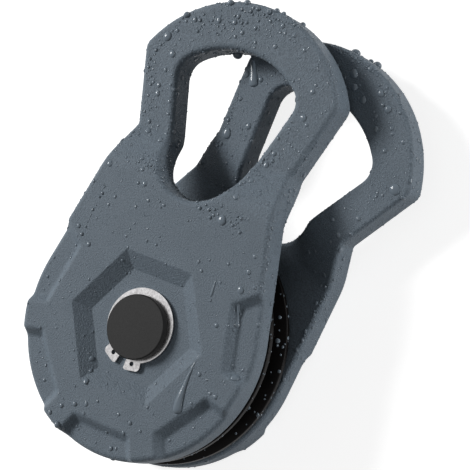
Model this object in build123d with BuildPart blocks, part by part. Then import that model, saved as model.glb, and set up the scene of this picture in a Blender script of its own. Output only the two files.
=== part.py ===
"""Snatch block: two joggled cheeks that swing on one pin, with a grooved sheave between them.

Units are millimetres. The block lies on its rear cheek: the origin is on the pin's axis, in the
plane of the rear cheek's outer face, +Z runs up the pin and +Y points to the rear cheek's eye.
"""
from build123d import *
from math import atan2, cos, radians, sin, tan
import os

# Cheek plates, both from one forging
cheek_thickness = 14.0
body_radius = 59.0            # round end that covers the sheave
body_lean = 13.4              # degrees by which each straight side leans inwards
shoulder_y = 67.0             # where the straight sides end
neck_y = 84.0                 # narrowest place, below the eye
neck_half_width = 41.1
eye_y = 94.4                  # centre of the eye's outer arc
eye_radius = 57.5
eye_lean = 16.5               # degrees by which the eye's sides lean outwards
joggle_depth = 10.5           # how far the eye steps towards the other cheek
joggle_start_y = 66.5
joggle_end_y = 85.0
joggle_inner_radius = 5.0     # inside radius of each bend
corner_round = 6.5            # outline corners, seen from above
edge_round = 2.4              # forged edges along the outer face
inner_edge_round = 1.8        # and along the inner face
blank_margin = 1.0            # how far the bent blank reaches past the outline

# Pear-shaped hole in the eye
hole_root_y = 81.2
hole_root_radius = 21.4
hole_top_y = 86.0
hole_top_radius = 44.0
hole_side_y = 100.0           # where the hole's half width is given
hole_side_half_width = 27.2
hole_lean = 17.5              # degrees by which the hole's sides lean outwards
hole_corner_round = 10.0

# Recesses in a cheek's outer face
rim_division = 7              # the rim is divided in seven
pocket_count = 5              # the two parts next to the eye stay plain
pocket_depth = 3.6
pocket_slope = 43.0           # degrees from upright of their walls
rib_part = 9.7                # rib and pocket share the way from the hexagon's corners
pocket_part = 13.8            # to the rim in these parts
hexagon_radius = 35.5         # to the corners, at the face
hexagon_depth = 4.2
hexagon_slope = 60.8          # degrees from upright of its walls
land_half_width = 6.0         # half the plain land between two pockets
hexagon_round = 1.1           # rounding along the hexagon's edges
pocket_round = 2.6            # the same along the pockets, more than edge_round

# Pin, which carries everything
pin_radius = 14.5
pin_end_height = 0.8          # how far the pin stands out of the front cheek
pin_end_chamfer = 0.5
head_radius = 19.0
head_chamfer = 0.8
running_clearance = 0.05      # radial, in every bore on the pin

# Retaining ring in the pin's groove
ring_thickness = 1.5
ring_play = 0.15              # to the hexagon's floor, and to each wall of the groove
groove_depth = 0.7
ring_outer_radius = 16.7
ring_offset = 1.1             # the ring is wider on the side away from its ears
ring_gap = 15.0               # degrees that the ring leaves open
ring_direction = -99.5        # degrees from the front cheek's X to the middle of the gap
ear_hole_radius = 1.05
ear_hole_position = 16.2      # from the pin's axis
ear_hole_angle = 19.5         # degrees from the middle of the gap
ear_reach = 19.2              # outermost radius of an ear
ear_width = 8.6
ear_round = 2.0               # corners of an ear

# Sheave, its bushing and the washers beside it
sheave_inset = 0.8            # how far its rim stays inside the cheeks' round ends
sheave_width = 18.4
rim_land = 2.6                # flat width of each flange at the rim
rim_round = 0.6
groove_root_radius = 5.2
groove_half_angle = 15.0
hub_radius = 25.0
rim_inner_radius = 41.0       # where the dished web meets the thick rim
web_dish = 1.8
web_slope = 2.0               # radial width of the web's sloped edges
bushing_wall = 3.0
washer_thickness = 2.0
washer_radius = 24.0
washer_clearance = 0.25       # radial, round the pin
side_play = 0.3               # between the sheave and each washer

# At rest the front cheek is swung open by this angle, in degrees
rest_swing = 20.0

# Radii that follow the cheeks' round ends
rim_width = body_radius - hexagon_radius
pocket_radius = hexagon_radius + rim_width * rib_part / (rib_part + pocket_part)
sheave_radius = body_radius - sheave_inset

# Heights of the stack, from the rear cheek's outer face
rear_inner_z = cheek_thickness
sheave_z = rear_inner_z + washer_thickness + side_play
front_washer_z = sheave_z + sheave_width + side_play
front_inner_z = front_washer_z + washer_thickness
front_outer_z = front_inner_z + cheek_thickness
ring_z = front_outer_z - hexagon_depth + ring_play
pin_end_z = front_outer_z + pin_end_height
bore_radius = pin_radius + running_clearance
bushing_radius = bore_radius + bushing_wall
groove_radius = pin_radius - groove_depth

rear_face = Plane(origin=(0, 0, 0), x_dir=(-1, 0, 0), z_dir=(0, 0, -1))
front_face = Plane.XY.offset(front_outer_z).rotated((0, 0, rest_swing))


def mirrored(*right_side):
    """Corners of a symmetric outline, from those on its right side in order."""
    return [*right_side, *[(-x, y) for x, y in reversed(right_side)]]


def upright_faces(plate, face):
    """The plate's side walls, which stand square to its outer face."""
    return plate.faces().filter_by(lambda f: abs(f.normal_at().dot(face.z_dir)) < 0.05)


def in_order(edges):
    """The edges sorted by their places, so that every build rounds them in the same order."""
    return sorted(edges, key=lambda edge: [round(value, 3) for value in edge.center()])


def forged_cheek(face):
    """One cheek plate. The face is its outer face, with Y towards its eye."""
    section = Plane(origin=face.origin, x_dir=face.y_dir, z_dir=face.x_dir)
    depth = joggle_depth + cheek_thickness
    top_y = eye_y + eye_radius + blank_margin
    with BuildPart() as plate:
        # Side view: flat body, a slope down by the joggle, flat eye
        slope = atan2(joggle_depth, joggle_end_y - joggle_start_y)
        shift = cheek_thickness * tan(slope / 2)
        bend_radius = joggle_inner_radius + cheek_thickness
        with BuildSketch(section):
            with BuildLine():
                outer = FilletPolyline(
                    (-body_radius - blank_margin, 0),
                    (joggle_start_y, 0),
                    (joggle_end_y, -joggle_depth),
                    (top_y, -joggle_depth),
                    radius=[bend_radius, joggle_inner_radius],
                )
                inner = FilletPolyline(
                    (-body_radius - blank_margin, -cheek_thickness),
                    (joggle_start_y - shift, -cheek_thickness),
                    (joggle_end_y - shift, -depth),
                    (top_y, -depth),
                    radius=[joggle_inner_radius, bend_radius],
                )
                Line(outer @ 0, inner @ 0)
                Line(outer @ 1, inner @ 1)
            make_face()
        extrude(amount=body_radius + blank_margin, both=True)

        # Outline: round body with straight leaning sides, neck and round eye
        lean = radians(body_lean)
        side_start = (body_radius * cos(lean), body_radius * sin(lean))
        shoulder = (side_start[0] - (shoulder_y - side_start[1]) * tan(lean), shoulder_y)
        neck = (neck_half_width, neck_y)
        eye_top = (neck_half_width + (top_y - neck_y) * tan(radians(eye_lean)), top_y)
        with BuildSketch(face) as outline:
            with Locations((0, eye_y)):
                Circle(eye_radius)
            Polygon(*mirrored(neck, eye_top), align=None, mode=Mode.INTERSECT)
            Polygon(*mirrored(side_start, shoulder, neck), align=None)
            Circle(body_radius)
            corners = outline.vertices().filter_by_position(Axis.Y, shoulder_y - blank_margin, top_y)
            fillet(corners, corner_round)
        extrude(amount=-depth, mode=Mode.INTERSECT)

        # Pear-shaped hole
        def hole_half_width(y):
            return hole_side_half_width + (y - hole_side_y) * tan(radians(hole_lean))

        with BuildSketch(face) as hole:
            with Locations((0, hole_top_y)):
                Circle(hole_top_radius)
            Polygon(
                *mirrored((hole_half_width(hole_root_y), hole_root_y), (hole_half_width(top_y), top_y)),
                align=None,
                mode=Mode.INTERSECT,
            )
            with Locations((0, hole_root_y)):
                Circle(hole_root_radius)
            fillet(hole.vertices(), hole_corner_round)
        extrude(amount=-depth, mode=Mode.SUBTRACT)

        # Hexagon recess round the pin
        with BuildSketch(face):
            RegularPolygon(hexagon_radius, 6)
        extrude(amount=-hexagon_depth, taper=hexagon_slope, mode=Mode.SUBTRACT)
        fillet(in_order(plate.edges(Select.LAST)), hexagon_round)

        # Rim pockets, open to the edge, with lands between them that point at the pin
        land = radians(180 / rim_division)
        step = 360 / rim_division
        reach = 1.1 * body_radius

        def pocket_half_width(radius):
            along = (radius - land_half_width * sin(land)) / cos(land)
            return along * sin(land) - land_half_width * cos(land)

        with BuildSketch(face):
            with PolarLocations(
                0,
                pocket_count,
                start_angle=-90 - step * (pocket_count - 1) / 2,
                angular_range=step * (pocket_count - 1),
                endpoint=True,
            ):
                Polygon(
                    (pocket_radius, -pocket_half_width(pocket_radius)),
                    (reach, -pocket_half_width(reach)),
                    (reach, pocket_half_width(reach)),
                    (pocket_radius, pocket_half_width(pocket_radius)),
                    align=None,
                )
        extrude(amount=-pocket_depth, taper=pocket_slope, mode=Mode.SUBTRACT)
        fillet(in_order(plate.edges(Select.LAST) - upright_faces(plate, face).edges()), pocket_round)

        # Rounded forged edges: along the outer face and its pockets, then along the inner face
        upright = plate.edges().filter_by(Axis(face.origin, face.z_dir))
        inner_face = plate.faces().filter_by(lambda f: f.normal_at().dot(face.z_dir) < -0.5)
        fillet(in_order(upright_faces(plate, face).edges() - upright - inner_face.edges()), edge_round)
        inner_face = plate.faces().filter_by(lambda f: f.normal_at().dot(face.z_dir) < -0.5)
        across = plate.edges().filter_by(Axis(face.origin, face.x_dir))
        fillet(in_order(inner_face.edges() - across), inner_edge_round)

        # Bore for the pin
        with BuildSketch(face):
            Circle(bore_radius)
        extrude(amount=-cheek_thickness, mode=Mode.SUBTRACT)
    return plate


rear_cheek = forged_cheek(rear_face)
front_cheek = forged_cheek(front_face)

# Turned pin: round head in the rear cheek's hexagon, ring groove near the other end
with BuildPart() as pin:
    groove_z = ring_z - ring_play
    groove_end_z = ring_z + ring_thickness + ring_play
    with BuildSketch(Plane.XZ):
        Polygon(
            (0, 0),
            (head_radius - head_chamfer, 0),
            (head_radius, head_chamfer),
            (head_radius, hexagon_depth),
            (pin_radius, hexagon_depth),
            (pin_radius, groove_z),
            (groove_radius, groove_z),
            (groove_radius, groove_end_z),
            (pin_radius, groove_end_z),
            (pin_radius, pin_end_z - pin_end_chamfer),
            (pin_radius - pin_end_chamfer, pin_end_z),
            (0, pin_end_z),
            align=None,
        )
    revolve(axis=Axis.Z)

# External retaining ring with two eared holes
with BuildPart() as retaining_ring:
    with BuildSketch(front_face.offset(ring_z - front_outer_z).rotated((0, 0, ring_direction))):
        with Locations((-ring_offset, 0)):
            Circle(ring_outer_radius)
        for side in (-1, 1):
            with Locations(Location((0, 0), side * ear_hole_angle)):
                with Locations((ear_reach / 2, 0)):
                    RectangleRounded(ear_reach, ear_width, ear_round)
        Circle(groove_radius + running_clearance, mode=Mode.SUBTRACT)
        gap_half = radians(ring_gap / 2)
        gap_reach = 2 * ear_reach
        Polygon(
            (0, 0),
            (gap_reach, -gap_reach * tan(gap_half)),
            (gap_reach, gap_reach * tan(gap_half)),
            align=None,
            mode=Mode.SUBTRACT,
        )
        with PolarLocations(
            ear_hole_position,
            2,
            start_angle=-ear_hole_angle,
            angular_range=2 * ear_hole_angle,
            endpoint=True,
        ):
            Circle(ear_hole_radius, mode=Mode.SUBTRACT)
    extrude(amount=ring_thickness)

# Sheave: thick rim with a rope groove, dished web and hub
with BuildPart() as sheave:
    half = sheave_width / 2
    flank = radians(groove_half_angle)
    root_centre = sheave_radius - (half - rim_land - groove_root_radius / cos(flank)) / tan(flank)
    root_touch = (root_centre - groove_root_radius * sin(flank), groove_root_radius * cos(flank))
    with BuildSketch(Plane.XZ.shift_origin((0, 0, sheave_z + half))) as wheel:
        with BuildLine():
            Polyline(
                root_touch,
                (sheave_radius, half - rim_land),
                (sheave_radius, half),
                (rim_inner_radius, half),
                (rim_inner_radius - web_slope, half - web_dish),
                (hub_radius + web_slope, half - web_dish),
                (hub_radius, half),
                (bushing_radius, half),
                (bushing_radius, 0),
            )
            mirror(about=Plane.XZ)
            ThreePointArc(
                root_touch,
                (root_centre - groove_root_radius, 0),
                (root_touch[0], -root_touch[1]),
            )
        make_face()
        rim_corners = wheel.vertices().filter_by_position(Axis.X, sheave_radius - 0.1, sheave_radius + 0.1)
        fillet(rim_corners, rim_round)
    revolve(axis=Axis.Z)

# Bronze sleeve pressed into the sheave
with BuildPart() as sheave_bushing:
    with BuildSketch(Plane.XY.offset(sheave_z)):
        Circle(bushing_radius)
        Circle(bore_radius, mode=Mode.SUBTRACT)
    extrude(amount=sheave_width)


def thrust_washer(height):
    """Flat washer round the pin, between the sheave's hub and a cheek."""
    with BuildPart() as washer:
        with BuildSketch(Plane.XY.offset(height)):
            Circle(washer_radius)
            Circle(pin_radius + washer_clearance, mode=Mode.SUBTRACT)
        extrude(amount=washer_thickness)
    return washer


rear_thrust_washer = thrust_washer(rear_inner_z)
front_thrust_washer = thrust_washer(front_washer_z)

rear_cheek.part.label = "rear_cheek"
front_cheek.part.label = "front_cheek"
sheave.part.label = "sheave"
sheave_bushing.part.label = "sheave_bushing"
pin.part.label = "pin"
retaining_ring.part.label = "retaining_ring"
rear_thrust_washer.part.label = "rear_thrust_washer"
front_thrust_washer.part.label = "front_thrust_washer"

os.makedirs("parts", exist_ok=True)
export_step(rear_cheek.part, "parts/rear_cheek.step")
export_step(front_cheek.part, "parts/front_cheek.step")
export_step(sheave.part, "parts/sheave.step")
export_step(sheave_bushing.part, "parts/sheave_bushing.step")
export_step(pin.part, "parts/pin.step")
export_step(retaining_ring.part, "parts/retaining_ring.step")
export_step(rear_thrust_washer.part, "parts/rear_thrust_washer.step")
export_step(front_thrust_washer.part, "parts/front_thrust_washer.step")
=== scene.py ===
"""Looks of a snatch block: wet powder-coated cheeks, black sheave, pin and its bright ring.

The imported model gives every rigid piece. This script gives each one its material, adds the water
that lies on it, and sets the floor, the lamps and the camera. Lengths are in metres.
"""
from math import cos, radians, sin

import bpy
import numpy as np
from mathutils import Matrix, Vector
from mathutils.bvhtree import BVHTree


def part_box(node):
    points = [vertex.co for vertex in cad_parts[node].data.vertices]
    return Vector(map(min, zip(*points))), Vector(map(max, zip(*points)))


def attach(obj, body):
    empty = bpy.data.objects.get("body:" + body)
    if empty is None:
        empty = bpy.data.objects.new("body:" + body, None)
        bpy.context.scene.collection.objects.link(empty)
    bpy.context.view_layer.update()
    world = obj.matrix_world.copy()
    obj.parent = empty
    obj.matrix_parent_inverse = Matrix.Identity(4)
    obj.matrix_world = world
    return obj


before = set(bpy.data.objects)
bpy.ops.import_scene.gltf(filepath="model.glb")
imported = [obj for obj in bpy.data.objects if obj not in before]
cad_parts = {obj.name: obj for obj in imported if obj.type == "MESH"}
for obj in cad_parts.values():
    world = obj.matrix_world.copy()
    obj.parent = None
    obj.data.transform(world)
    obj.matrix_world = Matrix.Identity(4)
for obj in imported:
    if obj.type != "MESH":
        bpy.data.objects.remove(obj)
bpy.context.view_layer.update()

bl_info = {
    "name": "Snatch block looks",
    "version": (1, 0, 0),
    "blender": (4, 5, 0),
    "location": "View3D > Sidebar > Block",
    "description": "Finishes, water drops and stage for a snatch block",
    "category": "Object",
}

MM = 0.001
PHOTO_SIZE = 470              # width and height of the picture, in pixels
PHOTO_MIDDLE = PHOTO_SIZE / 2
SENSOR = 36                   # width of the camera's sensor, in mm

# Places on the block, from its boxes
FRONT_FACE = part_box("front_cheek")[1].z
BODY_REACH = 1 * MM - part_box("rear_cheek")[0].y          # just outside the cheeks' round ends
RING_REACH = 1.5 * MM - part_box("retaining_ring")[0].y    # just outside the retaining ring
WET_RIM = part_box("sheave")[1].x - 8.2 * MM               # inner edge of the sheave's wet rim

# Kinds of surface, by how far the normal points up: 1 is straight up and -1 straight down
UPRIGHT = 0.05                # an upright wall has less than this, up or down
LEVEL = 0.8                   # a level face has more than this, up or down
INNER_FACE = 0.1              # parts the cheeks' faces towards the sheave from their outer sides
FRONT_UNDERSIDE = -0.6        # the front cheek is dry below this
REAR_UNDERSIDE = -0.3         # the rear cheek is dry below this
FLANGE_SIDE = 0.98            # the sheave's flat sides have more than this and are dry

# Shape of a drop, as shares of its radius
FLATNESS = (0.35, 0.5)        # least and greatest height
SPRAY_HEIGHT = 0.7            # height of a drop in a spray
SMALL_TAILS = (0, 0.3)        # how far small drops are drawn out upwards
OVAL_WAVE = 0.05              # depth of the wave that runs twice round the outline
THREE_WAVE = 0.03             # and of the one that runs three times round it
ROOM = 1.1                    # what stays free between a small drop's middle and its neighbours

# Small drops: the smallest radius, and the least share that it is divided by the root of
SCATTERED = (0.3 * MM, 0.06)
SPRAYED = (0.28 * MM, 0.08)
SPRAY_SPREAD = 0.6            # scatter across a spray, as a share of its half width
EDGE_SHARE = 3                # drops per area on rounded edges, as a share of those on the eye

# Meshes: points around and rings of points
LARGE_DROP = (20, 9)
SMALL_DROP = (8, 4)
RUN_AROUND = 12
RUN_STEPS = 6                 # rings for each point of a run

# Cross-section of a run, as shares of its half width, and how blunt its ends are
RUN_HEIGHT = 0.55
RUN_DEPTH = 0.33
RUN_BLUNTNESS = 8

# Shares of white on the stage
FLOOR_GREY = 0.3              # the floor, to the light that falls on the block
FLOOR_SEEN = 0.5              # the floor, where it is seen
FLOOR_GLOW = 0.82             # what it gives off there
WORLD_LIGHT = 0.24            # the world, to the light that falls on the block
WORLD_SEEN = 1.0              # the world, where it is seen

LAMPS_AIM = Vector((0, 0.04, 0.03))    # a point in the middle of the block
FLOOR_REACH = 3.0                      # from the middle of the floor to its sides
CLOUD_SHADE = 0.88                     # the cheeks' clouds, as a share of their colour
NO_AREA = 1e-12                        # a triangle with less than this has no normal

# A direction in which no face of the block looks, for faces that look up or down in the photograph
ANY_WAY = (0.31, 0.52, 0.79)
LEAST_LENGTH = 0.05           # of the photograph's down direction, laid into a face

# Larger drops on the front cheek: pixel across, pixel down, radius in mm, tail as a share of it
FRONT_DROPS = [
    (148, 131, 1.3, 0.3), (160.4, 140, 1.2, 0.2), (109.7, 163.7, 1.3, 0.2), (303.4, 118.2, 1.5, 0.2),
    (312.6, 91.9, 1.2, 0.1), (157.6, 93.8, 1.2, 0.6), (169, 101.9, 0.8, 0.3), (168, 113.9, 0.7, 0.2),
    (236, 197, 1.4, 0.1), (222, 220.5, 2.1, 0.1), (274, 154, 1.1, 0.2), (266, 165.3, 1.4, 0.2),
    (251.3, 180.5, 1.3, 0.1), (167.4, 36.6, 2.1, 0.1), (172.4, 54.4, 1.5, 0.4), (218.9, 20.8, 1.2, 0.5),
    (234.7, 22.7, 1.2, 0.3), (195, 19.8, 1.2, 0.2), (156.6, 92.9, 0.9, 0.2), (165.5, 70.2, 0.9, 0.4),
    (275.2, 46.5, 1.1, 0.1), (285, 33.6, 0.8, 0.2), (237.2, 325, 1.3, 0.2), (234.3, 356, 0.7, 0.1),
    (233.6, 365.5, 0.7, 0.1), (235, 378, 1.9, 0.1), (92, 358.6, 1.2, 0.1), (91, 371, 0.9, 0.1),
    (86, 381, 1.5, 0.1), (86, 404.5, 1.0, 0.6), (83.6, 413.7, 0.8, 0.3), (240.5, 290.5, 1.6, 0.2),
]

# Beads, which stand as high as they are wide: along its outline, and one that hangs in its eye
FRONT_BEADS = [
    (187, 15, 1.5, 0.1), (231, 3, 1.5, 0.1), (247.5, 3, 1.5, 0.1), (258, 9, 1.1, 0.1),
    (269, 12, 1.2, 0.1), (277, 11, 1.3, 0.1), (284, 14, 1.1, 0.1), (303, 25, 1.3, 0.1),
    (57.6, 425, 1.5, 0.1), (238, 54, 2.4, 0.1),
]

# The same on the rear cheek
REAR_DROPS = [
    (246.3, 74.5, 1.5, 0.1), (248.3, 126.3, 1.4, 0.2), (226.5, 134, 2.2, 0.3), (381, 93.5, 1.7, 0.1),
    (388, 109.5, 1.7, 0.1), (354, 74, 2.0, 0.1), (354.5, 87.5, 1.6, 0.1), (363, 100.5, 1.6, 0.3),
    (370, 69, 1.1, 0.1), (376, 116, 0.9, 0.1), (376, 129, 1.2, 0.1), (410, 115, 0.8, 0.1),
    (394.8, 189.8, 2.4, 0.1), (338, 235, 1.2, 0.1), (340.4, 250.5, 1.2, 0.5), (330, 242, 0.9, 0.1),
    (324, 275, 1.1, 0.3), (320.5, 285.7, 0.9, 0.1), (316, 303, 0.9, 0.1), (314, 315, 0.9, 0.1),
    (305, 331.6, 1.0, 0.1), (296, 350, 1.1, 0.1),
]
REAR_BEADS = [(356.7, 52.5, 2.1, 0.1), (371.7, 60.8, 1.1, 0.1), (378, 65, 1.9, 0.1)]

# Runs: the pixels that each one passes, from its top, with half its width there in mm
FRONT_RUNS = [
    [
        (200, 352.5, 0.3), (193.5, 365, 0.5), (188, 377, 0.8), (184, 387, 1.2), (181, 395, 1.7),
        (178.5, 403, 2.1), (177, 410, 2.3), (176.5, 414, 1.8),
    ],
    [(240.5, 292, 1.1), (238.5, 306, 0.6), (237.5, 318, 0.6), (237.0, 326, 1.1)],
    [(216, 280, 0.4), (213.5, 288, 0.5), (210.6, 297, 0.6)],
]
REAR_RUNS = [
    [(252.5, 60, 1.1), (253.2, 70, 1.5), (253.5, 80, 2.2), (253.5, 87, 2.0)],
]

# Sprays of fine drops along a line: its two ends and its half width in pixels, and how many
FRONT_SPRAYS = [
    (140, 158, 172, 176, 9, 90), (160, 178, 205, 200, 2.5, 110), (205, 200, 245, 182, 2.5, 70),
    (195, 207, 245, 225, 7, 60), (248, 178, 275, 150, 8, 60), (285, 225, 328, 148, 1, 60),
    (190, 25, 262, 25, 12, 80), (196, 52, 245, 53, 3, 80), (215, 2, 305, 28, 1, 90),
    (150, 60, 150, 125, 8, 40), (106, 152, 142, 130, 3, 30), (150, 60, 185, 15, 1, 30),
    (70, 260, 105, 185, 1, 30),
]
REAR_SPRAYS = [
    (325, 42, 385, 78, 3, 110), (350, 55, 405, 115, 9, 60), (216, 150, 241, 92, 2, 40),
    (244, 140, 288, 100, 9, 30), (395, 90, 424, 150, 1, 30), (300, 345, 345, 255, 3, 40),
]


class CheekSettings(bpy.types.PropertyGroup):
    """Powder coat of both cheeks."""

    color: bpy.props.FloatVectorProperty(
        name="Coat", description="Colour of the powder coat", subtype="COLOR", default=(0.121, 0.151, 0.181)
    )
    grain: bpy.props.FloatProperty(
        name="Grain", description="Size of the coat's grain", default=0.6 * MM, unit="LENGTH"
    )
    grain_height: bpy.props.FloatProperty(
        name="Grain height", description="Depth of the coat's grain", default=0.45 * MM, unit="LENGTH"
    )


class WaterSettings(bpy.types.PropertyGroup):
    """Small drops scattered over the block."""

    front_count: bpy.props.IntProperty(
        name="Drops on the front cheek", description="Small drops before they are thinned out", default=1500
    )
    rear_count: bpy.props.IntProperty(
        name="Drops on the rear cheek", description="Small drops before they are thinned out", default=1000
    )
    sheave_count: bpy.props.IntProperty(
        name="Drops on the sheave", description="Small drops before they are thinned out", default=500
    )
    body_share: bpy.props.FloatProperty(
        name="Share on the round body",
        description="Drops per area there, as a share of those on the eye",
        default=0.35,
    )
    seed: bpy.props.IntProperty(name="Seed", description="Picks another scatter", default=7)


class StageSettings(bpy.types.PropertyGroup):
    """Camera and lamps."""

    azimuth: bpy.props.FloatProperty(
        name="Azimuth",
        description="Where the camera stands, from +X",
        default=radians(22.972),
        subtype="ANGLE",
    )
    elevation: bpy.props.FloatProperty(
        name="Elevation", description="Height of the camera", default=radians(61.352), subtype="ANGLE"
    )
    roll: bpy.props.FloatProperty(
        name="Roll",
        description="Turn of the camera on its own axis",
        default=radians(-72.771),
        subtype="ANGLE",
    )
    distance: bpy.props.FloatProperty(
        name="Distance", description="From the camera to what it aims at", default=1.00513, unit="LENGTH"
    )
    lens: bpy.props.FloatProperty(
        name="Lens", description="Focal length in mm on a 36 mm sensor", default=178.7
    )
    aim: bpy.props.FloatVectorProperty(
        name="Aim", description="Point in the middle of the picture", default=(0.01101, 0.06043, FRONT_FACE)
    )
    key_power: bpy.props.FloatProperty(
        name="Key lamp", description="Power of the large lamp", default=42.5, unit="POWER"
    )
    side_power: bpy.props.FloatProperty(
        name="Side lamp", description="Power of the low strip lamp", default=6, unit="POWER"
    )


def camera_matrix(stage):
    """Place and axes of the camera: right, up, back and location as a 4 by 4 matrix."""
    back = Vector((
        cos(stage.azimuth) * cos(stage.elevation),
        sin(stage.azimuth) * cos(stage.elevation),
        sin(stage.elevation),
    ))
    level_right = Vector((0, 0, 1)).cross(back).normalized()
    level_up = back.cross(level_right)
    right = level_right * cos(stage.roll) + level_up * sin(stage.roll)
    up = back.cross(right)
    matrix = Matrix((right, up, back)).transposed().to_4x4()
    matrix.translation = Vector(stage.aim) + back * stage.distance
    return matrix


# Places on the CAD nodes

def node_triangles(node):
    """Corner points of a CAD node's triangles, as an array of triangle, corner and axis."""
    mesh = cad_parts[node].data
    mesh.calc_loop_triangles()
    places = np.empty(len(mesh.vertices) * 3)
    mesh.vertices.foreach_get("co", places)
    corners = np.empty(len(mesh.loop_triangles) * 3, int)
    mesh.loop_triangles.foreach_get("vertices", corners)
    return places.reshape(-1, 3)[corners.reshape(-1, 3)]


def node_tree(node):
    """Search tree of a CAD node, for rays."""
    triangles = node_triangles(node)
    corners = np.arange(len(triangles) * 3).reshape(-1, 3)
    return BVHTree.FromPolygons(triangles.reshape(-1, 3).tolist(), corners.tolist())


def seen_points(node, pixels):
    """Where the camera's rays through these pixels meet a node: places and outward normals.

    Where a ray passes beside the node, it is the point of the node that lies nearest to where the
    ray is at the node's middle height.
    """
    stage = bpy.context.scene.block_stage
    matrix = camera_matrix(stage)
    focal = stage.lens / SENSOR * PHOTO_SIZE
    tree = node_tree(node)
    low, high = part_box(node)
    middle = (low.z + high.z) / 2
    places, normals = [], []
    for across, down in pixels:
        ray = Vector((across - PHOTO_MIDDLE, PHOTO_MIDDLE - down, -focal))
        heading = (matrix.to_3x3() @ ray).normalized()
        place, normal, _, _ = tree.ray_cast(matrix.translation, heading)
        if place is None:
            beside = matrix.translation + heading * ((middle - matrix.translation.z) / heading.z)
            place, normal, _, _ = tree.find_nearest(beside)
        places.append(place)
        normals.append(normal)
    return np.array(places), np.array(normals)


def scatter(node, count, density, rng):
    """Random points of a node, as many per area as density(places, normals) says."""
    triangles = node_triangles(node)
    cross = np.cross(triangles[:, 1] - triangles[:, 0], triangles[:, 2] - triangles[:, 0])
    doubled_area = np.linalg.norm(cross, axis=1)
    normals = cross / np.maximum(doubled_area, NO_AREA)[:, None]
    weight = doubled_area * density(triangles.mean(axis=1), normals)
    chosen = rng.choice(len(weight), count, p=weight / weight.sum())
    a, b = np.sqrt(rng.random((count, 1))), rng.random((count, 1))
    corners = triangles[chosen]
    places = corners[:, 0] * (1 - a) + corners[:, 1] * a * (1 - b) + corners[:, 2] * a * b
    return places, normals[chosen]


def sprayed(node, sprays, rng):
    """Points of a node round the lines that the sprays name, with their outward normals."""
    lines = np.array(sprays, float)
    lines = lines.repeat(lines[:, 5].astype(int), axis=0)
    start, end = lines[:, :2], lines[:, 2:4]
    along = end - start
    across = np.stack([-along[:, 1], along[:, 0]], axis=1) / np.linalg.norm(along, axis=1, keepdims=True)
    share = rng.random((len(lines), 1))
    offset = rng.normal(0, SPRAY_SPREAD, (len(lines), 1)) * lines[:, 4:5]
    return seen_points(node, start + along * share + across * offset)


def from_pin(places):
    """Distance of each place from the pin's axis."""
    return np.hypot(places[:, 0], places[:, 1])


def cheek_share(places, normals, body_share):
    """Drops per area on a cheek: few on its round body, most on the rounded edges beyond it."""
    tilt = np.abs(normals[:, 2])
    beyond = np.where((tilt > UPRIGHT) & (tilt < LEVEL), EDGE_SHARE, 1)
    return np.where(from_pin(places) < BODY_REACH, body_share, beyond)


def spaced(places, radii, taken_places, taken_radii):
    """Which drops stand clear of each other and of those already there, the largest first."""
    kept_places, kept_radii = [*taken_places], [*taken_radii]
    keep = np.zeros(len(places), bool)
    for i in np.argsort(-radii):
        gaps = np.linalg.norm(np.array(kept_places) - places[i], axis=1) - np.array(kept_radii)
        if gaps.min() > radii[i] * ROOM:
            keep[i] = True
            kept_places.append(places[i])
            kept_radii.append(radii[i])
    return keep


# Water

def tube_faces(rings, around):
    """Quads of a tube of vertex rings, and the triangle fans that close its two ends.

    The end points follow the rings.
    """
    ring, side = np.meshgrid(np.arange(rings - 1), np.arange(around), indexing="ij")
    following = (side + 1) % around
    upper, lower = ring * around, (ring + 1) * around
    quads = np.stack([upper + side, lower + side, lower + following, upper + following], axis=-1)
    edge = np.arange(around)
    after = (edge + 1) % around
    last = (rings - 1) * around
    top = np.stack([np.full(around, rings * around), edge, after], axis=-1)
    bottom = np.stack([np.full(around, rings * around + 1), last + after, last + edge], axis=-1)
    return quads.reshape(-1, 4), top, bottom


def down_on(normals):
    """The photograph's down direction laid into each tangent plane, and the direction across it."""
    matrix = camera_matrix(bpy.context.scene.block_stage)
    down = -np.array(matrix.col[1][:3])
    along = down - normals * (normals @ down)[:, None]
    length = np.linalg.norm(along, axis=1, keepdims=True)
    along = np.where(length > LEAST_LENGTH, along, np.cross(normals, ANY_WAY))
    along /= np.linalg.norm(along, axis=1, keepdims=True)
    return along, np.cross(normals, along)


def drop_shells(places, normals, radii, heights, tails, mesh_size, rng):
    """Points and faces of closed drops, each a flattened ball that stands in the surface.

    With t from the top pole to the bottom one and u around, a point is the place plus the radius
    times sin(t) along u, plus cos(t) times the height, or a third of the radius below the surface.
    The half that points up the slope is drawn out by the tail, and two gentle waves in u make the
    outline uneven.
    """
    around, rings = mesh_size
    along, across = down_on(normals)
    t = np.pi * np.arange(1, rings + 1) / (rings + 1)
    u = 2 * np.pi * np.arange(around) / around
    phase = rng.uniform(0, 2 * np.pi, (2, len(places), 1))
    uneven = 1 + OVAL_WAVE * np.cos(2 * u + phase[0]) + THREE_WAVE * np.cos(3 * u + phase[1])
    stretch = np.where(np.sin(u) < 0, 1 + tails[:, None], 1.0)
    reach = (radii[:, None] * uneven)[:, None, :] * np.sin(t)[None, :, None]
    depth = radii / 3
    lift = np.where(np.cos(t) > 0, heights[:, None] * np.cos(t), depth[:, None] * np.cos(t))
    points = (
        places[:, None, None]
        + across[:, None, None] * (reach * np.cos(u))[..., None]
        + along[:, None, None] * (reach * (np.sin(u) * stretch)[:, None])[..., None]
        + normals[:, None, None] * lift[:, :, None, None]
    )
    poles = np.stack([places + normals * heights[:, None], places - normals * depth[:, None]], axis=1)
    points = np.concatenate([points.reshape(len(places), -1, 3), poles], axis=1)
    first = np.arange(len(places))[:, None, None] * points.shape[1]
    faces = []
    for part in tube_faces(rings, around):
        faces += (part + first).reshape(-1, part.shape[1]).tolist()
    return points.reshape(-1, 3), faces


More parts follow.
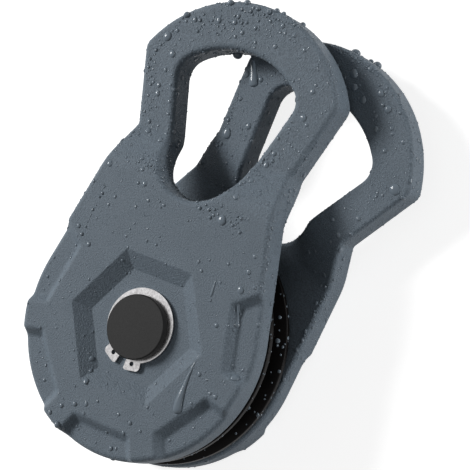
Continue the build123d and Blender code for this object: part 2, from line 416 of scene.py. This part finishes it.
def placed_drops(node, drops, beads, rng):
    """The drops and beads that stand where the photograph has them: places, radii and shells."""
    pixels = np.array([*drops, *beads], float)
    places, normals = seen_points(node, pixels[:, :2])
    radii = pixels[:, 2] * MM
    heights = radii * rng.uniform(*FLATNESS, len(radii))
    heights[len(drops):] = radii[len(drops):]
    shells = drop_shells(places, normals, radii, heights, pixels[:, 3], LARGE_DROP, rng)
    return places, radii, shells


def random_radii(smallest, least_share, count, rng):
    """Radii of small drops, most of them close to the smallest: it is divided by a share's root."""
    return smallest / np.sqrt(rng.uniform(least_share, 1, count))


def small_drops(node, sprays, count, density, taken_places, taken_radii, rng):
    """Shells of the small drops, scattered and sprayed, that stand clear of the drops there."""
    places, normals = scatter(node, count, density, rng)
    radii = random_radii(*SCATTERED, count, rng)
    heights = radii * rng.uniform(*FLATNESS, count)
    if sprays:
        spray_places, spray_normals = sprayed(node, sprays, rng)
        spray_radii = random_radii(*SPRAYED, len(spray_places), rng)
        places = np.concatenate([places, spray_places])
        normals = np.concatenate([normals, spray_normals])
        radii = np.concatenate([radii, spray_radii])
        heights = np.concatenate([heights, SPRAY_HEIGHT * spray_radii])
    clear = spaced(places, radii, taken_places, taken_radii)
    tails = rng.uniform(*SMALL_TAILS, clear.sum())
    return drop_shells(places[clear], normals[clear], radii[clear], heights[clear], tails, SMALL_DROP, rng)


def run_shell(node, run):
    """Points and faces of water that has run down the surface: a tube, closed at both ends.

    Path and half widths go in straight steps from pixel to pixel, are smoothed by a running mean,
    and narrow to nothing at the ends. Each cross-section is half an ellipse above the surface and
    half a flatter one below it.
    """
    pixels = np.array(run, float)
    places, normals = seen_points(node, pixels[:, :2])
    steps = np.arange(len(places))
    along = np.linspace(0, len(places) - 1, RUN_STEPS * len(places))
    path = np.stack([np.interp(along, steps, places[:, axis]) for axis in range(3)], axis=1)
    out = np.stack([np.interp(along, steps, normals[:, axis]) for axis in range(3)], axis=1)
    width = np.interp(along, steps, pixels[:, 2] * MM)
    running_mean = np.array([1, 2, 3, 2, 1]) / 9
    for values in (*path.T, *out.T, width):
        values[2:-2] = np.convolve(values, running_mean, "valid")
    from_middle = np.abs(2 * along / along[-1] - 1)
    width = width * np.sqrt(1 - from_middle ** RUN_BLUNTNESS)
    out /= np.linalg.norm(out, axis=1, keepdims=True)
    across = np.cross(out, np.gradient(path, axis=0))
    across /= np.linalg.norm(across, axis=1, keepdims=True)
    u = 2 * np.pi * np.arange(RUN_AROUND) / RUN_AROUND
    lift = np.where(np.sin(u) > 0, RUN_HEIGHT * np.sin(u), RUN_DEPTH * np.sin(u))
    inner = slice(1, -1)
    points = (
        path[inner, None]
        + across[inner, None] * (width[inner, None] * np.cos(u))[..., None]
        + out[inner, None] * (width[inner, None] * lift)[..., None]
    )
    faces = [face for part in tube_faces(len(points), RUN_AROUND) for face in part.tolist()]
    return np.concatenate([points.reshape(-1, 3), path[[0, -1]]]), faces


def wet(name, node, body, count, density, seed, drops=(), beads=(), runs=(), sprays=()):
    """Adds the water on one node: placed drops and beads, runs, and small drops between them."""
    rng = np.random.default_rng(seed)
    shells = []
    taken_places, taken_radii = np.ones((1, 3)), np.zeros(1)
    if drops:
        taken_places, taken_radii, large = placed_drops(node, drops, beads, rng)
        shells.append(large)
    shells += [run_shell(node, run) for run in runs]
    shells.append(small_drops(node, sprays, count, density, taken_places, taken_radii, rng))

    faces = []
    first = 0
    for points, shell_faces in shells:
        faces += [[corner + first for corner in face] for face in shell_faces]
        first += len(points)
    mesh = bpy.data.meshes.new(name)
    mesh.from_pydata(np.concatenate([points for points, _ in shells]).tolist(), [], faces)
    mesh.shade_smooth()
    mesh.materials.append(bpy.data.materials.get("water") or water_material())
    piece = bpy.data.objects.new(name, mesh)
    bpy.context.scene.collection.objects.link(piece)
    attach(piece, body)


class BLOCK_OT_wet_front(bpy.types.Operator):
    """Put water on the front cheek"""

    bl_idname = "block.wet_front"
    bl_label = "Wet the front cheek"

    def execute(self, context):
        water = context.scene.block_water

        def density(places, normals):
            out, up = from_pin(places), normals[:, 2]
            over_sheave = (out < BODY_REACH) & (up < INNER_FACE)
            free = ~over_sheave & (out > RING_REACH) & (up > FRONT_UNDERSIDE)
            return free * cheek_share(places, normals, water.body_share)

        wet(
            "front_cheek_water",
            node="front_cheek",
            body="front_cheek",
            count=water.front_count,
            density=density,
            seed=water.seed,
            drops=FRONT_DROPS,
            beads=FRONT_BEADS,
            runs=FRONT_RUNS,
            sprays=FRONT_SPRAYS,
        )
        return {"FINISHED"}


class BLOCK_OT_wet_rear(bpy.types.Operator):
    """Put water on the rear cheek"""

    bl_idname = "block.wet_rear"
    bl_label = "Wet the rear cheek"

    def execute(self, context):
        water = context.scene.block_water

        def density(places, normals):
            out, up = from_pin(places), normals[:, 2]
            under_sheave = (out < BODY_REACH) & (up > INNER_FACE)
            free = ~under_sheave & (up > REAR_UNDERSIDE)
            return free * cheek_share(places, normals, water.body_share)

        wet(
            "rear_cheek_water",
            node="rear_cheek",
            body="base",
            count=water.rear_count,
            density=density,
            seed=water.seed + 1,
            drops=REAR_DROPS,
            beads=REAR_BEADS,
            runs=REAR_RUNS,
            sprays=REAR_SPRAYS,
        )
        return {"FINISHED"}


class BLOCK_OT_wet_sheave(bpy.types.Operator):
    """Put water on the sheave"""

    bl_idname = "block.wet_sheave"
    bl_label = "Wet the sheave"

    def execute(self, context):
        water = context.scene.block_water

        def density(places, normals):
            return (from_pin(places) > WET_RIM) & (np.abs(normals[:, 2]) < FLANGE_SIDE)

        wet(
            "sheave_water",
            node="sheave",
            body="sheave",
            count=water.sheave_count,
            density=density,
            seed=water.seed + 2,
        )
        return {"FINISHED"}


# Materials

def new_material(name):
    """An empty node material, and the Principled shader on its output."""
    material = bpy.data.materials.new(name)
    material.use_nodes = True
    nodes, links = material.node_tree.nodes, material.node_tree.links
    nodes.clear()
    output = nodes.new("ShaderNodeOutputMaterial")
    shader = nodes.new("ShaderNodeBsdfPrincipled")
    links.new(shader.outputs["BSDF"], output.inputs["Surface"])
    return material, shader


def surface_group():
    """Node group for coated and machined surfaces: cloudy colour, uneven roughness, fine grain."""
    group = bpy.data.node_groups.get("uneven_surface")
    if group:
        return group
    group = bpy.data.node_groups.new("uneven_surface", "ShaderNodeTree")
    sockets = [
        ("Color", "INPUT", "NodeSocketColor"),
        ("Cloud Color", "INPUT", "NodeSocketColor"),
        ("Grain Scale", "INPUT", "NodeSocketFloat"),
        ("Grain Height", "INPUT", "NodeSocketFloat"),
        ("Roughness", "INPUT", "NodeSocketFloat"),
        ("Roughness Change", "INPUT", "NodeSocketFloat"),
        ("Color", "OUTPUT", "NodeSocketColor"),
        ("Roughness", "OUTPUT", "NodeSocketFloat"),
        ("Normal", "OUTPUT", "NodeSocketVector"),
    ]
    for name, direction, kind in sockets:
        group.interface.new_socket(name, in_out=direction, socket_type=kind)
    nodes, links = group.nodes, group.links
    start = nodes.new("NodeGroupInput")
    end = nodes.new("NodeGroupOutput")
    place = nodes.new("ShaderNodeTexCoord")

    # Clouds about 11 mm across, and the fine grain
    cloud = nodes.new("ShaderNodeTexNoise")
    cloud.inputs["Scale"].default_value = 90
    cloud.inputs["Detail"].default_value = 4
    links.new(place.outputs["Object"], cloud.inputs["Vector"])
    grain = nodes.new("ShaderNodeTexNoise")
    grain.inputs["Detail"].default_value = 2
    links.new(place.outputs["Object"], grain.inputs["Vector"])
    links.new(start.outputs["Grain Scale"], grain.inputs["Scale"])

    # Colour: from one to the other by the clouds, then specked by the grain
    mix = nodes.new("ShaderNodeMix")
    mix.data_type = "RGBA"
    links.new(cloud.outputs["Fac"], mix.inputs["Factor"])
    links.new(start.outputs["Color"], mix.inputs["A"])
    links.new(start.outputs["Cloud Color"], mix.inputs["B"])
    speck = nodes.new("ShaderNodeMix")
    speck.data_type = "RGBA"
    speck.blend_type = "OVERLAY"
    speck.inputs["Factor"].default_value = 0.6
    links.new(mix.outputs["Result"], speck.inputs["A"])
    links.new(grain.outputs["Fac"], speck.inputs["B"])
    links.new(speck.outputs["Result"], end.inputs["Color"])

    # Roughness: more in the clouds
    change = nodes.new("ShaderNodeMath")
    change.operation = "MULTIPLY_ADD"
    links.new(cloud.outputs["Fac"], change.inputs[0])
    links.new(start.outputs["Roughness Change"], change.inputs[1])
    links.new(start.outputs["Roughness"], change.inputs[2])
    links.new(change.outputs["Value"], end.inputs["Roughness"])

    bump = nodes.new("ShaderNodeBump")
    links.new(start.outputs["Grain Height"], bump.inputs["Distance"])
    links.new(grain.outputs["Fac"], bump.inputs["Height"])
    links.new(bump.outputs["Normal"], end.inputs["Normal"])
    return group


def surface_material(
    name, color, cloud_color, grain, grain_height, roughness, roughness_change, metallic, specular
):
    """A material on the uneven surface group. Grain is the size of the grain in metres."""
    material, shader = new_material(name)
    group = material.node_tree.nodes.new("ShaderNodeGroup")
    group.node_tree = surface_group()
    group.inputs["Color"].default_value = (*color, 1)
    group.inputs["Cloud Color"].default_value = (*cloud_color, 1)
    group.inputs["Grain Scale"].default_value = 1 / grain
    group.inputs["Grain Height"].default_value = grain_height
    group.inputs["Roughness"].default_value = roughness
    group.inputs["Roughness Change"].default_value = roughness_change
    links = material.node_tree.links
    links.new(group.outputs["Color"], shader.inputs["Base Color"])
    links.new(group.outputs["Roughness"], shader.inputs["Roughness"])
    links.new(group.outputs["Normal"], shader.inputs["Normal"])
    shader.inputs["Metallic"].default_value = metallic
    shader.inputs["Specular IOR Level"].default_value = specular
    return material


def powder_coat():
    """Grey powder coat of the cheeks, a little darker in its clouds."""
    cheeks = bpy.context.scene.block_cheeks
    return surface_material(
        "powder_coat",
        color=cheeks.color,
        cloud_color=[CLOUD_SHADE * share for share in cheeks.color],
        grain=cheeks.grain,
        grain_height=cheeks.grain_height,
        roughness=0.5,
        roughness_change=0.12,
        metallic=0,
        specular=0.2,
    )


def black_coat():
    """Glossy black coat of the sheave."""
    return surface_material(
        "black_coat",
        color=(0.002, 0.002, 0.002),
        cloud_color=(0.004, 0.003, 0.003),
        grain=0.6 * MM,
        grain_height=0.01 * MM,
        roughness=0.3,
        roughness_change=0.15,
        metallic=0,
        specular=0.08,
    )


def black_steel():
    """Satin black finish of the pin."""
    return surface_material(
        "black_steel",
        color=(0.011, 0.011, 0.011),
        cloud_color=(0.018, 0.018, 0.018),
        grain=0.5 * MM,
        grain_height=0.03 * MM,
        roughness=0.45,
        roughness_change=0.1,
        metallic=0,
        specular=0.15,
    )


def bright_steel():
    """Bright plating of the retaining ring."""
    return surface_material(
        "bright_steel",
        color=(0.6, 0.59, 0.6),
        cloud_color=(0.45, 0.44, 0.44),
        grain=1 * MM,
        grain_height=0.01 * MM,
        roughness=0.2,
        roughness_change=0.05,
        metallic=1,
        specular=0.5,
    )


def bronze():
    """Machined bronze of the bushing and the thrust washers."""
    return surface_material(
        "bronze",
        color=(0.45, 0.27, 0.12),
        cloud_color=(0.38, 0.22, 0.1),
        grain=0.4 * MM,
        grain_height=0.006 * MM,
        roughness=0.35,
        roughness_change=0.1,
        metallic=1,
        specular=0.5,
    )


def water_material():
    """Water, in the colour of the coat that shows through it."""
    material, shader = new_material("water")
    shader.inputs["Base Color"].default_value = (*bpy.context.scene.block_cheeks.color, 1)
    shader.inputs["IOR"].default_value = 1.33
    shader.inputs["Roughness"].default_value = 0.16
    return material


def finish(material, *nodes):
    """Gives CAD nodes this material all over."""
    for node in nodes:
        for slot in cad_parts[node].material_slots:
            slot.material = material


class BLOCK_OT_coat_cheeks(bpy.types.Operator):
    """Give both cheeks their grey powder coat"""

    bl_idname = "block.coat_cheeks"
    bl_label = "Coat the cheeks"

    def execute(self, context):
        finish(powder_coat(), "front_cheek", "rear_cheek")
        return {"FINISHED"}


class BLOCK_OT_finish_sheave(bpy.types.Operator):
    """Give the sheave its black coat"""

    bl_idname = "block.finish_sheave"
    bl_label = "Finish the sheave"

    def execute(self, context):
        finish(black_coat(), "sheave")
        return {"FINISHED"}


class BLOCK_OT_finish_pin(bpy.types.Operator):
    """Give the pin, its ring, the bushing and the washers their metals"""

    bl_idname = "block.finish_pin"
    bl_label = "Finish the pin"

    def execute(self, context):
        finish(black_steel(), "pin")
        finish(bright_steel(), "retaining_ring")
        finish(bronze(), "sheave_bushing", "rear_thrust_washer", "front_thrust_washer")
        return {"FINISHED"}


# Stage

def seen_directly(nodes, links):
    """A value of 1 on camera, glossy and transmission rays, and of 0 on the others."""
    path = nodes.new("ShaderNodeLightPath")
    camera_or_glossy = nodes.new("ShaderNodeMath")
    any_of_them = nodes.new("ShaderNodeMath")
    any_of_them.use_clamp = True
    links.new(path.outputs["Is Camera Ray"], camera_or_glossy.inputs[0])
    links.new(path.outputs["Is Glossy Ray"], camera_or_glossy.inputs[1])
    links.new(camera_or_glossy.outputs["Value"], any_of_them.inputs[0])
    links.new(path.outputs["Is Transmission Ray"], any_of_them.inputs[1])
    return any_of_them.outputs["Value"]


def floor_material():
    """Glows white where it is seen, and is a plain grey to the light that falls on the block."""
    material = bpy.data.materials.new("floor")
    material.use_nodes = True
    nodes, links = material.node_tree.nodes, material.node_tree.links
    nodes.clear()
    output = nodes.new("ShaderNodeOutputMaterial")
    both = nodes.new("ShaderNodeAddShader")
    diffuse = nodes.new("ShaderNodeBsdfDiffuse")
    shade = nodes.new("ShaderNodeMix")
    shade.data_type = "RGBA"
    shade.inputs["A"].default_value = (FLOOR_GREY, FLOOR_GREY, FLOOR_GREY, 1)
    shade.inputs["B"].default_value = (FLOOR_SEEN, FLOOR_SEEN, FLOOR_SEEN, 1)
    glow = nodes.new("ShaderNodeEmission")
    strength = nodes.new("ShaderNodeMath")
    strength.operation = "MULTIPLY"
    strength.inputs[1].default_value = FLOOR_GLOW
    seen = seen_directly(nodes, links)
    links.new(seen, shade.inputs["Factor"])
    links.new(shade.outputs["Result"], diffuse.inputs["Color"])
    links.new(seen, strength.inputs[0])
    links.new(strength.outputs["Value"], glow.inputs["Strength"])
    links.new(diffuse.outputs["BSDF"], both.inputs[0])
    links.new(glow.outputs["Emission"], both.inputs[1])
    links.new(both.outputs["Shader"], output.inputs["Surface"])
    return material


def lay_floor(scene):
    """A square floor under the block."""
    corners = [(x * FLOOR_REACH, y * FLOOR_REACH, 0) for x, y in ((-1, -1), (1, -1), (1, 1), (-1, 1))]
    mesh = bpy.data.meshes.new("floor")
    mesh.from_pydata(corners, [], [(0, 1, 2, 3)])
    mesh.materials.append(floor_material())
    floor = bpy.data.objects.new("floor", mesh)
    scene.collection.objects.link(floor)


def set_world(scene):
    """A white studio where it is seen, and a dimmer one for the light that it gives."""
    world = bpy.data.worlds.new("studio")
    world.use_nodes = True
    nodes, links = world.node_tree.nodes, world.node_tree.links
    nodes.clear()
    output = nodes.new("ShaderNodeOutputWorld")
    background = nodes.new("ShaderNodeBackground")
    strength = nodes.new("ShaderNodeMapRange")
    strength.inputs["To Min"].default_value = WORLD_LIGHT
    strength.inputs["To Max"].default_value = WORLD_SEEN
    links.new(seen_directly(nodes, links), strength.inputs["Value"])
    links.new(strength.outputs["Result"], background.inputs["Strength"])
    links.new(background.outputs["Background"], output.inputs["Surface"])
    scene.world = world


def add_lamp(scene, name, place, width, height, power):
    """A rectangular lamp that looks at the middle of the block."""
    light = bpy.data.lights.new(name, "AREA")
    light.shape = "RECTANGLE"
    light.size = width
    light.size_y = height
    light.energy = power
    lamp = bpy.data.objects.new(name, light)
    scene.collection.objects.link(lamp)
    lamp.location = place
    lamp.rotation_euler = (LAMPS_AIM - Vector(place)).to_track_quat("-Z", "Y").to_euler()
    lamp.visible_camera = False


def add_camera(scene):
    """The camera that sees the block as the photograph does."""
    camera = bpy.data.objects.new("camera", bpy.data.cameras.new("camera"))
    camera.data.lens = scene.block_stage.lens
    camera.data.clip_end = 10
    scene.collection.objects.link(camera)
    camera.matrix_world = camera_matrix(scene.block_stage)
    scene.camera = camera


class BLOCK_OT_stage(bpy.types.Operator):
    """Set the floor, the lamps, the world and the camera"""

    bl_idname = "block.stage"
    bl_label = "Set the stage"

    def execute(self, context):
        scene = context.scene
        stage = scene.block_stage
        scene.view_settings.view_transform = "Standard"
        add_camera(scene)
        lay_floor(scene)
        set_world(scene)
        add_lamp(scene, "key_lamp", (-1.54, -0.19, 1.28), width=0.6, height=0.6, power=stage.key_power)
        add_lamp(scene, "side_lamp", (0.643, 0.683, 0.03), width=0.9, height=0.05, power=stage.side_power)
        return {"FINISHED"}


class BLOCK_PT_panel(bpy.types.Panel):
    """Lists the steps in the sidebar of the 3D view"""

    bl_idname = "BLOCK_PT_panel"
    bl_label = "Snatch block"
    bl_space_type = "VIEW_3D"
    bl_region_type = "UI"
    bl_category = "Block"

    def draw(self, context):
        for step in STEPS:
            self.layout.operator(step.bl_idname)
        for name in SETTINGS:
            settings = getattr(context.scene, name)
            box = self.layout.box()
            for key in settings.__annotations__:
                box.prop(settings, key)


SETTINGS = {"block_cheeks": CheekSettings, "block_water": WaterSettings, "block_stage": StageSettings}
STEPS = [
    BLOCK_OT_stage,
    BLOCK_OT_coat_cheeks,
    BLOCK_OT_finish_sheave,
    BLOCK_OT_finish_pin,
    BLOCK_OT_wet_front,
    BLOCK_OT_wet_rear,
    BLOCK_OT_wet_sheave,
]


def register():
    for one in [*SETTINGS.values(), *STEPS, BLOCK_PT_panel]:
        bpy.utils.register_class(one)
    for name, group in SETTINGS.items():
        setattr(bpy.types.Scene, name, bpy.props.PointerProperty(type=group))


def unregister():
    for name in SETTINGS:
        delattr(bpy.types.Scene, name)
    for one in reversed([*SETTINGS.values(), *STEPS, BLOCK_PT_panel]):
        bpy.utils.unregister_class(one)


def main():
    """Runs every step in order."""
    register()
    bpy.ops.block.stage()
    bpy.ops.block.coat_cheeks()
    bpy.ops.block.finish_sheave()
    bpy.ops.block.finish_pin()
    bpy.ops.block.wet_front()
    bpy.ops.block.wet_rear()
    bpy.ops.block.wet_sheave()


if __name__ == "__main__":
    main()
